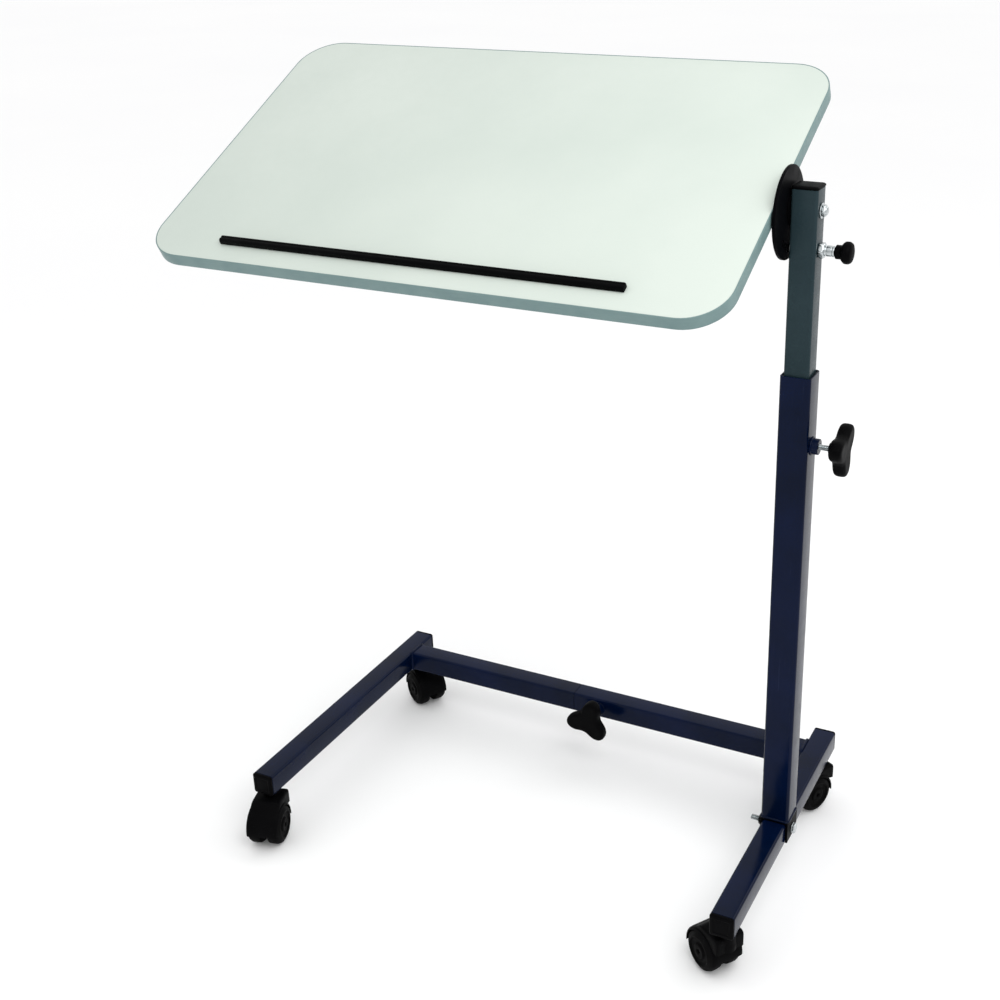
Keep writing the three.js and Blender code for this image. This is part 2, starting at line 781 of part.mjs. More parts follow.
function buildTable() {
  const table = new THREE.Group();
  table.add(buildFoot("right", 0), buildFoot("left", -span), buildCrossbar(), buildSaddle());
  add(table, "outer_column", outerColumnGeometry(), finish.navyPaint());
  add(table, "column_bush", bushGeometry(), finish.blackPlastic());
  table.add(buildUpright(), buildTabletop());

  const columnFace = [outer.side / 2, 0, heightClampZ];
  const right = new THREE.Vector3(1, 0, 0);
  const heightTip = inner.side / 2 + GAP - outer.side / 2;
  const navy = finish.navyPaint();
  table.add(buildClamp("height_clamp", columnFace, right, heightTip, navy, 0.2));
  const barFace = [barClampX, bar.y - bar.side / 2, footMiddle];
  const front = new THREE.Vector3(0, -1, 0);
  const barTip = GAP - (bar.side - bar.spigot) / 2;
  table.add(buildClamp("bar_clamp", barFace, front, barTip, finish.navyPaint(), -0.8));

  table.add(
    buildCastor("right_front", 0, castor.frontY, 146),
    buildCastor("right_rear", 0, castor.rearY, -118),
    buildCastor("left_front", -span, castor.frontY, -73),
    buildCastor("left_rear", -span, castor.rearY, -32),
  );
  return table;
}

// The origin is under the middle of the whole table, on the floor.
const table = buildTable();
const extent = new THREE.Box3().setFromObject(table, true);
const middle = extent.getCenter(new THREE.Vector3());
table.position.set(-middle.x, -middle.y, -extent.min.z);

const group = new THREE.Group();
group.add(table);

export default group;
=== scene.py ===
"""Looks of an overbed table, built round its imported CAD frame.

Shapes are given in millimetres in a local frame of their own, and become metres as
they are made. Every place comes from the frame's nodes and joints. A profile is a
list of (radius, height) points, and an outline a list of (x, y) points.
"""
import json
import math

import bmesh
import bpy
from mathutils import Matrix, Vector


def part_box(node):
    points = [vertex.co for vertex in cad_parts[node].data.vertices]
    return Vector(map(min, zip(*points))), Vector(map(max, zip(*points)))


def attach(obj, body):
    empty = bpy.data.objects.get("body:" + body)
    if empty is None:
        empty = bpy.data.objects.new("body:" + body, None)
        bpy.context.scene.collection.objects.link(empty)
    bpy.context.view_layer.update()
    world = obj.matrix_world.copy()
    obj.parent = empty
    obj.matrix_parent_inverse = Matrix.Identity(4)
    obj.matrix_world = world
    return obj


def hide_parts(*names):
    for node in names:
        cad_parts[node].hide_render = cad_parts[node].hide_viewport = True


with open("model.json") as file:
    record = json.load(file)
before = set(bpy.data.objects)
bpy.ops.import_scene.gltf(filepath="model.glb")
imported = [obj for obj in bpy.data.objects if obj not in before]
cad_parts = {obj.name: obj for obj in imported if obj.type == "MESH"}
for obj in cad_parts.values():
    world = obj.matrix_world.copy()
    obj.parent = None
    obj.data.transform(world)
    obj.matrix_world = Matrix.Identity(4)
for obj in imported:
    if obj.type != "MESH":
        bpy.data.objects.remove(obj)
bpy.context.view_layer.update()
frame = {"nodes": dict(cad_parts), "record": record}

MM = 0.001
record = frame["record"]
joints = {joint["name"]: joint for joint in record["behaviour"]["joints"]}
body_of = {
    node: body
    for body, nodes in record["behaviour"]["bodies"].items()
    for node in nodes
}
slot_of = {part["node"]: part["material_slot"] for part in record["subparts"]}


# ------------------------------------------------------------------ materials

class Look:
    """A Principled material whose colour, roughness and bump come from noise."""

    def __init__(self, name, metallic=0.0, specular=0.5):
        self.material = bpy.data.materials.new(name)
        self.material.use_nodes = True
        self.tree = self.material.node_tree
        self.shader = self.tree.nodes["Principled BSDF"]
        self.shader.inputs["Metallic"].default_value = metallic
        self.shader.inputs["Specular IOR Level"].default_value = specular
        self.place = self.tree.nodes.new("ShaderNodeTexCoord").outputs["Object"]
        self.relief = None

    def put(self, socket, value):
        """Links a socket's value, or sets a plain one."""
        if isinstance(value, bpy.types.NodeSocket):
            self.tree.links.new(value, socket)
        else:
            socket.default_value = value

    def node(self, kind, inputs=(), **settings):
        """Adds a shader node, with values or links for its inputs."""
        made = self.tree.nodes.new("ShaderNode" + kind)
        for key, value in settings.items():
            setattr(made, key, value)
        for key, value in dict(inputs).items():
            self.put(made.inputs[key], value)
        return made

    def noise(self, scale, detail=3.0, stretch=(1.0, 1.0, 1.0), rough=0.5):
        """Noise with about scale features a metre, drawn out by a large stretch."""
        mapped = self.node("Mapping", {"Vector": self.place, "Scale": stretch})
        inputs = {
            "Vector": mapped.outputs["Vector"],
            "Scale": scale,
            "Detail": detail,
            "Roughness": rough,
        }
        return self.node("TexNoise", inputs).outputs["Fac"]

    def cells(self, scale):
        """Rounded cells, about scale of them a metre."""
        inputs = {"Vector": self.place, "Scale": scale}
        return self.node("TexVoronoi", inputs).outputs["Distance"]

    def span(self, value, low, high, to_low=0.0, to_high=1.0):
        """Maps low..high to to_low..to_high, held at the ends."""
        inputs = {
            "Value": value,
            "From Min": low,
            "From Max": high,
            "To Min": to_low,
            "To Max": to_high,
        }
        return self.node("MapRange", inputs).outputs["Result"]

    def multiply(self, first, second):
        made = self.node("Math", operation="MULTIPLY")
        self.put(made.inputs[0], first)
        self.put(made.inputs[1], second)
        return made.outputs[0]

    def blend(self, factor, first, second):
        """Colour first where the factor is 0, second where it is 1."""
        made = self.node("Mix", data_type="RGBA")
        self.put(made.inputs[0], factor)
        self.put(made.inputs[6], first)
        self.put(made.inputs[7], second)
        return made.outputs[2]

    def bump(self, value, depth):
        """Adds relief, depth millimetres from the noise's 0 to its 1."""
        inputs = {"Height": value, "Distance": depth * MM}
        if self.relief is not None:
            inputs["Normal"] = self.relief
        self.relief = self.node("Bump", inputs).outputs["Normal"]

    def done(self, color, roughness):
        """Finishes the material with its colour, roughness and the relief so far."""
        self.put(self.shader.inputs["Base Color"], color)
        self.put(self.shader.inputs["Roughness"], roughness)
        if self.relief is not None:
            self.put(self.shader.inputs["Normal"], self.relief)
        return self.material


def rgb(red, green, blue):
    """A colour from its 0 to 255 display values."""
    def linear(value):
        value /= 255
        return value / 12.92 if value <= 0.04045 else ((value + 0.055) / 1.055) ** 2.4
    return (linear(red), linear(green), linear(blue), 1.0)


def melamine():
    """Faintly clouded and flecked, with light scuffs across it."""
    look = Look("melamine", specular=0.4)
    cloud = look.span(look.noise(5.0, detail=4.0), 0.35, 0.65)
    color = look.blend(cloud, rgb(193, 203, 195), rgb(200, 209, 201))
    fleck = look.span(look.noise(1400.0, detail=2.0), 0.56, 0.72, to_high=0.25)
    color = look.blend(fleck, color, rgb(184, 194, 187))
    scuff_noise = look.noise(60.0, detail=6.0, stretch=(1.0, 9.0, 1.0), rough=0.7)
    scuff = look.span(scuff_noise, 0.63, 0.75, to_high=0.12)
    color = look.blend(scuff, color, rgb(168, 177, 172))
    rough = look.span(look.noise(90.0, detail=5.0), 0.3, 0.7, to_low=0.36, to_high=0.5)
    look.bump(look.noise(260.0, detail=2.0), depth=0.02)
    look.bump(look.noise(2200.0), depth=0.012)
    return look.done(color, rough)


def edging():
    """Extruded plastic with lines along it and a few pale nicks."""
    look = Look("edging", specular=0.4)
    tone = look.span(look.noise(40.0, detail=4.0), 0.3, 0.7)
    color = look.blend(tone, rgb(104, 130, 130), rgb(114, 139, 138))
    lines = look.noise(30.0, detail=2.0, stretch=(1.0, 1.0, 60.0))
    color = look.blend(look.span(lines, 0.5, 0.7, to_high=0.3), color, rgb(94, 118, 119))
    nick = look.span(look.noise(240.0, detail=5.0, rough=0.7), 0.68, 0.76, to_high=0.35)
    color = look.blend(nick, color, rgb(160, 174, 172))
    look.bump(lines, depth=0.03)
    look.bump(look.noise(1600.0), depth=0.02)
    rough = look.span(look.noise(150.0), 0.3, 0.7, to_low=0.38, to_high=0.52)
    return look.done(color, rough)


def paint(name, dark, light, worn, specular, roughness, wear=0.5):
    """Powder coat: orange peel, small nicks, and fine scratches drawn out along Z."""
    look = Look(name, specular=specular)
    cloud = look.span(look.noise(14.0, detail=4.0), 0.35, 0.65)
    color = look.blend(cloud, dark, light)
    hairline_noise = look.noise(420.0, stretch=(1.0, 1.0, 0.03), rough=0.6)
    hairline = look.span(hairline_noise, 0.66, 0.74, to_high=wear)
    patch = look.span(look.noise(22.0), 0.5, 0.62)
    color = look.blend(look.multiply(hairline, patch), color, worn)
    nick = look.span(look.noise(330.0, detail=6.0, rough=0.75), 0.74, 0.78, to_high=wear)
    color = look.blend(nick, color, worn)
    look.bump(look.noise(420.0, detail=2.0), depth=0.012)
    look.bump(look.noise(1500.0, detail=2.0), depth=0.003)
    rough = look.span(
        look.noise(70.0, detail=4.0), 0.3, 0.7, to_low=roughness - 0.06, to_high=roughness + 0.07,
    )
    return look.done(color, rough)


def black_plastic():
    """Moulded plastic with a fine cell grain and greyer rubbed patches."""
    look = Look("black_plastic", specular=0.03)
    tone = look.span(look.noise(30.0, detail=4.0), 0.3, 0.7)
    color = look.blend(tone, rgb(3, 3, 4), rgb(6, 6, 7))
    rub = look.span(look.noise(160.0, detail=6.0, rough=0.7), 0.64, 0.76, to_high=0.4)
    color = look.blend(rub, color, rgb(18, 19, 21))
    look.bump(look.cells(1700.0), depth=0.012)
    look.bump(look.noise(200.0), depth=0.02)
    rough = look.span(look.noise(80.0), 0.3, 0.7, to_low=0.42, to_high=0.58)
    return look.done(color, rough)


def tyre():
    """Black nylon with floor dust on it."""
    look = Look("castor_tyre", specular=0.04)
    tone = look.span(look.noise(60.0, detail=4.0), 0.3, 0.7)
    color = look.blend(tone, rgb(4, 4, 5), rgb(8, 8, 8))
    dust = look.span(look.noise(220.0, detail=6.0, rough=0.75), 0.55, 0.75, to_high=0.45)
    color = look.blend(dust, color, rgb(19, 19, 18))
    look.bump(look.noise(500.0, detail=4.0), depth=0.025)
    rough = look.span(look.noise(120.0), 0.3, 0.7, to_low=0.5, to_high=0.72)
    return look.done(color, rough)


def chrome():
    """Bright plate with small dull pits."""
    look = Look("chrome", metallic=1.0)
    cloud = look.span(look.noise(120.0, detail=4.0), 0.3, 0.7)
    color = look.blend(cloud, rgb(176, 182, 184), rgb(200, 205, 206))
    pit = look.span(look.noise(900.0, detail=5.0, rough=0.7), 0.7, 0.8, to_high=0.4)
    color = look.blend(pit, color, rgb(130, 133, 132))
    look.bump(look.noise(300.0, detail=2.0), depth=0.002)
    rough = look.span(look.noise(260.0, detail=4.0), 0.3, 0.7, to_low=0.16, to_high=0.26)
    return look.done(color, rough)


looks = {
    "melamine": melamine(),
    "edging": edging(),
    "navy_paint": paint(
        "navy_paint", dark=rgb(1, 11, 34), light=rgb(3, 16, 46), worn=rgb(48, 58, 84),
        specular=0.1, roughness=0.18,
    ),
    "grey_paint": paint(
        "grey_paint", dark=rgb(32, 47, 52), light=rgb(38, 53, 58), worn=rgb(70, 84, 88),
        specular=0.1, roughness=0.28,
    ),
    "black_steel": paint(
        "black_steel", dark=rgb(3, 3, 5), light=rgb(6, 6, 8), worn=rgb(24, 26, 30),
        specular=0.02, roughness=0.4, wear=0.3,
    ),
    "black_plastic": black_plastic(),
    "chrome": chrome(),
    "castor_tyre": tyre(),
}
for name, node in frame["nodes"].items():
    for material_slot in node.material_slots:
        material_slot.material = looks[slot_of[name]]


# --------------------------------------------------------------------- shapes

TUBE_WALL = 1.5
TUBE_EDGE = 0.35  # rounding of a tube's ends
TUBE_BORE_CORNER = 1.0
RIM_STEPS = 3
CORNER_SHARE = 0.45  # the most of a side that one rounded corner takes
BEAD_STEP = 0.45  # between the rings of a weld bead
BEAD_SIDES = 10
BEAD_RIPPLE = 0.14  # share of the radius
BEAD_TIP = 0.35  # share of the radius at an open bead's ends
BEAD_SWELL = 0.4  # what each ring adds to that
THREAD_PITCH = 1.0
THREAD_DEPTH = 0.55
THREAD_RINGS = 6  # a turn
THREAD_SIDES = 24
THREAD_TIP = 0.55  # share of the radius at the tip
THREAD_TIP_RINGS = 5
HEXAGON_SIDES = 48
HEXAGON_FACE = 0.97  # radius of a nut's end face, as a share of its flats' half width
HEXAGON_CHAMFER = 1.04  # the same, part of the way down the chamfer
HEXAGON_CHAMFER_AT = 0.4
SHARP = math.radians(38)  # smaller angles between faces are shaded smooth
BEVELLED = math.radians(35)  # smaller angles are left unbevelled


def extent(node, place):
    """The lowest and highest corner of a CAD node in a local frame, in millimetres."""
    inverse = place.inverted()
    points = [inverse @ vertex.co / MM for vertex in frame["nodes"][node].data.vertices]
    low = Vector([min(point[axis] for point in points) for axis in range(3)])
    high = Vector([max(point[axis] for point in points) for axis in range(3)])
    return low, high


def soften(points, radius, closed=False, steps=4):
    """Rounds the corners of a line of 2-D points."""
    count = len(points)
    rounded = []
    for index, here in enumerate(points):
        here = Vector(here)
        if not closed and index in (0, count - 1):
            rounded.append(tuple(here))
            continue
        before = Vector(points[index - 1])
        after = Vector(points[(index + 1) % count])
        back, ahead = before - here, after - here
        reach = min(radius, CORNER_SHARE * back.length, CORNER_SHARE * ahead.length)
        start = here + back.normalized() * reach
        end = here + ahead.normalized() * reach
        for step in range(steps + 1):
            t = step / steps
            point = start * (1 - t) ** 2 + here * 2 * t * (1 - t) + end * t ** 2
            rounded.append(tuple(point))
    return rounded


def square(width, height, radius, steps=6):
    """A rectangle with rounded corners, as 2-D points."""
    points = []
    for corner in range(4):
        turn = corner * math.pi / 2
        sx = 1 if corner in (0, 3) else -1
        sy = 1 if corner in (0, 1) else -1
        for step in range(steps + 1):
            angle = turn + step / steps * math.pi / 2
            points.append((
                sx * (width / 2 - radius) + radius * math.cos(angle),
                sy * (height / 2 - radius) + radius * math.sin(angle),
            ))
    return points


def circle(radius, sides):
    turns = [math.tau * side / sides for side in range(sides)]
    return [(radius * math.cos(turn), radius * math.sin(turn)) for turn in turns]


def arc(radius, start, sweep, steps):
    """Points round a centre from a start angle through a sweep."""
    turns = [start + sweep * step / steps for step in range(steps + 1)]
    return [(radius * math.cos(turn), radius * math.sin(turn)) for turn in turns]


def hexagon_rings(flats, low, high, chamfer=0.9):
    """A hexagonal prism along Z whose corners are turned off at both ends."""
    def ring(limit, height):
        points = []
        for side in range(HEXAGON_SIDES):
            turn = math.tau * side / HEXAGON_SIDES
            from_flat = (turn + math.pi / 6) % (math.pi / 3) - math.pi / 6
            radius = min(flats / 2 / math.cos(from_flat), limit)
            points.append((radius * math.cos(turn), radius * math.sin(turn), height))
        return points

    corner = flats / math.sqrt(3)
    flat = flats / 2
    ends = [
        (flat * HEXAGON_FACE, 0.0), (flat * HEXAGON_CHAMFER, chamfer * HEXAGON_CHAMFER_AT),
        (corner, chamfer),
    ]
    rings = [ring(limit, low + depth) for limit, depth in ends]
    return rings + [ring(limit, high - depth) for limit, depth in reversed(ends)]


def lifted(points, height):
    """2-D points, placed at a height along Z."""
    return [(x, y, height) for x, y in points]


class Shape:
    """Points in millimetres, and the faces between them."""

    def __init__(self):
        self.points = []
        self.faces = []

    def rings(self, rings, closed=False, place=Matrix.Identity(4)):
        """Joins rings of points in order. Open ends are capped."""
        first = len(self.points)
        size = len(rings[0])
        for ring in rings:
            self.points.extend(place @ Vector(point) for point in ring)
        for index in range(len(rings) if closed else len(rings) - 1):
            here = first + index * size
            there = first + (index + 1) % len(rings) * size
            for side in range(size):
                after = (side + 1) % size
                self.faces.append((here + side, here + after, there + after, there + side))
        if not closed:
            last = first + (len(rings) - 1) * size
            self.faces.append(tuple(range(first + size - 1, first - 1, -1)))
            self.faces.append(tuple(range(last, last + size)))
        return self

    def prism(self, outline, low, high, edge, place=Matrix.Identity(4)):
        """outline(inset) extruded along Z, with its two rims rounded."""
        turns = [step / RIM_STEPS * math.pi / 2 for step in range(RIM_STEPS + 1)]
        rim = [(edge * (1 - math.sin(turn)), edge * (1 - math.cos(turn))) for turn in turns]
        rings = [lifted(outline(inset), low + rise) for inset, rise in rim]
        rings += [lifted(outline(inset), high - rise) for inset, rise in reversed(rim)]
        return self.rings(rings, place=place)

    def tube(self, side, radius, low, high):
        """A square tube along Z with rounded corners."""
        ends = [(TUBE_EDGE, low), (0, low + TUBE_EDGE), (0, high - TUBE_EDGE), (TUBE_EDGE, high)]
        rings = []
        for inset, height in ends:
            width = side - 2 * inset
            rings.append(lifted(square(width, width, radius - inset / 2), height))
        for inset, height in reversed(ends):
            width = side - 2 * TUBE_WALL + 2 * inset
            rings.append(lifted(square(width, width, TUBE_BORE_CORNER + inset), height))
        return self.rings(rings, closed=True)

    def lathe(self, profile, sides=40, closed=False, place=Matrix.Identity(4)):
        """Turns (radius, height) points about Z."""
        rings = [lifted(circle(radius, sides), height) for radius, height in profile]
        return self.rings(rings, closed=closed, place=place)

    def bead(self, path, radius, axis, closed=True, pitch=1.7):
        """A weld bead along a flat path at right angles to axis, with ripples."""
        path = [Vector(point) for point in path]
        pairs = zip(path, path[1:] + path[:1]) if closed else zip(path, path[1:])
        dense = []
        for start, end in pairs:
            parts = max(1, round((end - start).length / BEAD_STEP))
            dense += [start.lerp(end, part / parts) for part in range(parts)]
        axis = Vector(axis)
        turns = [math.tau * side / BEAD_SIDES for side in range(BEAD_SIDES)]
        last = len(dense) - 1
        travelled = 0.0
        rings = []
        for index, here in enumerate(dense):
            before = dense[index - 1] if closed or index else here
            after = dense[(index + 1) % len(dense)] if closed or index < last else here
            travelled += (here - before).length
            out = (after - before).normalized().cross(axis)
            ripple = abs(math.sin(math.pi * travelled / pitch))
            size = radius * (1 - BEAD_RIPPLE + BEAD_RIPPLE * ripple)
            if not closed:
                size *= min(1.0, BEAD_TIP + BEAD_SWELL * min(index, last - index))
            rings.append([
                here + (axis * math.cos(turn) + out * math.sin(turn)) * size for turn in turns
            ])
        return self.rings(rings, closed=closed)

    def thread(self, diameter, low, high):
        """A screw thread along Z, chamfered at its high end."""
        steps = round((high - low) / THREAD_PITCH * THREAD_RINGS)
        rings = []
        for step in range(steps + 1):
            height = low + (high - low) * step / steps
            fade = min(1.0, (steps - step) / THREAD_TIP_RINGS + THREAD_TIP)
            ring = []
            for side in range(THREAD_SIDES):
                phase = (height / THREAD_PITCH - side / THREAD_SIDES) % 1.0
                radius = (diameter / 2 - THREAD_DEPTH * abs(2 * phase - 1)) * fade
                turn = math.tau * side / THREAD_SIDES
                ring.append((radius * math.cos(turn), radius * math.sin(turn), height))
            rings.append(ring)
        return self.rings(rings)


def mesh_of(name, shape):
    """A shape's mesh in metres, with its faces turned outward."""
    mesh = bpy.data.meshes.new(name)
    mesh.from_pydata([point * MM for point in shape.points], [], shape.faces)
    tidy = bmesh.new()
    tidy.from_mesh(mesh)
    bmesh.ops.recalc_face_normals(tidy, faces=tidy.faces)
    tidy.to_mesh(mesh)
    tidy.free()
    return mesh


def made(name, shape, place):
    """A new object that shows a shape at a place."""
    item = bpy.data.objects.new(name, mesh_of(name, shape))
    bpy.context.scene.collection.objects.link(item)
    item.matrix_world = place
    return item


def carve(item, tool):
    """Cuts a shape in the same local frame out of an object."""
    cutter = made("cutter", tool, item.matrix_world.copy())
    cut = item.modifiers.new("cut", "BOOLEAN")
    cut.object = cutter
    cut.solver = "EXACT"
    bpy.context.view_layer.update()
    whole = item.evaluated_get(bpy.context.evaluated_depsgraph_get())
    carved = bpy.data.meshes.new_from_object(whole)
    item.modifiers.clear()
    item.data = carved
    bpy.data.objects.remove(cutter)


def level(item):
    """Takes a piece's turn into its mesh, so that its box stands square to the world."""
    place = item.matrix_world.copy()
    upright = Matrix.Translation(place.translation)
    item.data.transform(upright.inverted() @ place)
    item.matrix_world = upright


def piece(name, shape, place, node, stands_for=(), bevel=0.0, tool=None, turned=False):
    """Makes a piece that takes its body and finish from a CAD node.

    A turned piece lies askew to the world's axes.
    """
    item = made(name, shape, place)
    if tool is not None:
        carve(item, tool)
    if turned:
        level(item)
    item.data.materials.clear()
    item.data.materials.append(looks[slot_of[node]])
    item.data.shade_smooth()
    item.data.set_sharp_from_angle(angle=SHARP)
    if bevel:
        rounding = item.modifiers.new("rounding", "BEVEL")
        rounding.width = bevel * MM
        rounding.segments = 2
        rounding.limit_method = "ANGLE"
        rounding.angle_limit = BEVELLED
        rounding.harden_normals = True
    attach(item, body_of[node])
    if stands_for:
        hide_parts(*stands_for)


def stand_in(node, shape, place, **options):
    """A finer piece that replaces one CAD node."""
    piece(node + "_looks", shape, place, node, (node,), **options)


TURNS = {
    "x": Matrix.Rotation(math.pi / 2, 4, "Y"),
    "y": Matrix.Rotation(-math.pi / 2, 4, "X"),
    "z": Matrix.Identity(4),
}


def shifted(x, y, z):
    """A move given in millimetres."""
    return Matrix.Translation(Vector((x, y, z)) * MM)


def centred(node, axis):
    """A frame at the middle of a node's box, with Z along a world axis."""
    low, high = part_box(node)
    return Matrix.Translation((low + high) / 2) @ TURNS[axis]


def straight_tube(node, axis, radius):
    """A square tube along a world axis, as long as its CAD node."""
    place = centred(node, axis)
    low, high = extent(node, place)
    stand_in(node, Shape().tube(high.x - low.x, radius, low.z, high.z), place)


# ------------------------------------------------------------------- tabletop

TOP_CORNER = 42.0
TOP_CORNER_STEPS = 16
BAND = 1.0
BAND_ROUNDING = 0.7
BOARD_GAP = 0.05  # from the board to its band
BOARD_EDGE = 0.25
BOARD_SHY = (0.1, 0.12)  # how far its lower and upper face stop short of the band's
pivot = Vector(joints["tabletop_tilt"]["pos_m"])
lean = Vector(record["mounts"][0]["axis"])
table = Matrix.Translation(pivot) @ Matrix.Rotation(math.atan2(-lean.y, lean.z), 4, "X")


def build_board():
    low, high = extent("tabletop_edge_band", table)
    length, depth = high.x - low.x, high.y - low.y
    place = table @ shifted((low.x + high.x) / 2, 0, 0)

    def outline(inset):
        radius = TOP_CORNER - inset
        return square(length - 2 * inset, depth - 2 * inset, radius, TOP_CORNER_STEPS)

    def core(inset):
        return outline(inset + BAND + BOARD_GAP)

    board = Shape().prism(core, low.z + BOARD_SHY[0], high.z - BOARD_SHY[1], BOARD_EDGE)
    stand_in("tabletop_board", board, place)
    section = [(0, low.z), (0, high.z), (BAND, high.z), (BAND, low.z)]
    rim = soften(section, BAND_ROUNDING, closed=True)
    band = Shape().rings([lifted(outline(inset), z) for inset, z in rim], closed=True)
    stand_in("tabletop_edge_band", band, place)


def build_ledge():
    """A strip with a shallow groove along its top and rounded ends."""
    low, high = extent("book_ledge", table)
    place = table @ shifted((low.x + high.x) / 2, (low.y + high.y) / 2, low.z)
    half_length, half_depth = (high.x - low.x) / 2, (high.y - low.y) / 2
    top = high.z - low.z
    groove, shoulder = top - 0.6, top - 2.0
    section = soften([
        (-half_depth, 0), (-half_depth, shoulder), (-half_depth + 1.0, groove),
        (-1.4, top), (-0.9, groove), (0.9, groove), (1.4, top),
        (half_depth - 1.0, groove), (half_depth, shoulder), (half_depth, 0),
    ], 0.6, closed=True)
    ends = [(half_length, 0.86), (half_length - 0.3, 0.94), (half_length - 1.0, 1.0)]
    stations = [(-x, size) for x, size in ends] + [(x, size) for x, size in reversed(ends)]
    rings = [[(x, y * size, z * size) for y, z in section] for x, size in stations]
    stand_in("book_ledge", Shape().rings(rings), place)


BORE = 3.3  # radius of the holes for the pivot bolt and the plunger's pin
CUT_PAST = 1.0  # how far a cutting shape passes what it cuts
INDEX_RADIUS = 35.5
INDEX_STEP = math.radians(13.75)
INDEX_HOLES = 6


def build_tilt_plate():
    place = table @ TURNS["x"]
    low, high = extent("tilt_plate", place)
    radius = (high.y - low.y) / 2
    centre = Matrix.Translation(((low.x + high.x) / 2, (low.y + high.y) / 2, 0))
    profile = [(0.01, low.z), (radius, low.z), (radius, high.z), (0.01, high.z)]
    disc = Shape().lathe(soften(profile, 0.5), 96, place=centre)
    hole = [(BORE, low.z - CUT_PAST), (BORE, high.z + CUT_PAST)]
    holes = Shape()
    for index in range(INDEX_HOLES):
        turn = index * INDEX_STEP
        at = Vector((INDEX_RADIUS * math.cos(turn), -INDEX_RADIUS * math.sin(turn), 0))
        holes.lathe(hole, 24, place=Matrix.Translation(at))
    holes.lathe(hole, 24)
    stand_in("tilt_plate", disc, place, tool=holes, bevel=0.35)


ARM_SIDE = 20.0
ARM_CORNER = 2.2
PAD_LENGTH, PAD_WIDTH, PAD_CORNER = 320.0, 60.0, 8.0
PAD_FROM_END = 60.0
PAD_FOOT = 9.6  # a little inside the arm's upper face
STITCHES = 4  # welds along each side of the arm
STITCH_FROM_END = 20.0
STITCH_STEP = 82.0
STITCH_LENGTH = 32.0
STITCH_RADIUS = 1.7
STITCH_ASIDE, STITCH_HEIGHT = 10.3, 9.4
PLUG_LIP = 3.0
PLUG_STEM_SIDE = 16.2


def build_arm():
    low, high = extent("table_arm", table)
    place = table @ TURNS["x"]
    tube = Shape().tube(ARM_SIDE, ARM_CORNER, low.x, high.x)
    pad_middle = high.x - PAD_FROM_END - PAD_LENGTH / 2

    def pad(inset):
        return square(PAD_LENGTH - 2 * inset, PAD_WIDTH - 2 * inset, PAD_CORNER - inset)

    stand_up = TURNS["x"].inverted() @ Matrix.Translation((pad_middle, 0, 0))
    tube.prism(pad, PAD_FOOT, high.z, 0.5, place=stand_up)
    stand_in("table_arm", tube, place)

    welds = Shape()
    ring = [(high.x, x, y) for x, y in square(ARM_SIDE, ARM_SIDE, ARM_CORNER)]
    welds.bead(ring, 1.9, (1, 0, 0))
    first = pad_middle - PAD_LENGTH / 2 + STITCH_FROM_END
    for y in (-STITCH_ASIDE, STITCH_ASIDE):
        for number in range(STITCHES):
            start = first + number * STITCH_STEP
            line = [(x, y, STITCH_HEIGHT) for x in (start, start + STITCH_LENGTH)]
            welds.bead(line, STITCH_RADIUS, (0, 0, 1), closed=False)
    piece("arm_welds", welds, table, "table_arm")

    def lip(inset):
        return square(ARM_SIDE - 2 * inset, ARM_SIDE - 2 * inset, 2.4 - inset / 2)

    def stem(inset):
        return square(PLUG_STEM_SIDE - 2 * inset, PLUG_STEM_SIDE - 2 * inset, 1.2)

    low, high = extent("arm_end_plug", table)
    plug = Shape().prism(lip, low.x, low.x + PLUG_LIP, 1.1)
    plug.prism(stem, low.x + PLUG_LIP - 0.5, high.x, 0.3)
    stand_in("arm_end_plug", plug, place)


SCREW_HEAD = 2.6
CROSS = (5.0, 1.0)  # length and width of the recess's two slots
CROSS_DEPTH = 1.4


def build_arm_screws():
    for number in range(1, 5):
        node = f"arm_screw_{number}"
        low, high = extent(node, table)
        face = low.z + SCREW_HEAD
        screw = Shape().lathe(soften([
            (0.01, low.z), (2.6, low.z), (4.1, low.z + 0.9), (4.5, low.z + 1.9), (4.5, face),
            (2.1, face), (2.1, high.z - 1.5), (0.05, high.z),
        ], 0.35), 32)
        cross = Shape()
        for width, depth in (CROSS, CROSS[::-1]):
            slot = square(width, depth, 0.2, 2)
            cross.prism(lambda inset, s=slot: s, low.z - CUT_PAST, low.z + CROSS_DEPTH, 0.0)
        place = table @ shifted((low.x + high.x) / 2, (low.y + high.y) / 2, 0)
        stand_in(node, screw, place, tool=cross, bevel=0.12)


build_board()
build_ledge()
build_tilt_plate()
build_arm()
build_arm_screws()


# -------------------------------------------------------------------- upright

INNER_CORNER = 2.6
CAP_LID = 3.0
CAP_STEM_SIDE = 20.8
WASHER_RADIUS = 7.0
PIVOT_NUT_FLATS = 10.0
PIVOT_NUT_HEIGHT = 2.8
PLUNGER_FLATS = 13.0
PLUNGER_NUT_HEIGHT = 5.0


def axis_of(node):
    """A frame on the floor under the middle of a node's box."""
    low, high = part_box(node)
    return Matrix.Translation(((low.x + high.x) / 2, (low.y + high.y) / 2, 0))


column = axis_of("outer_column")


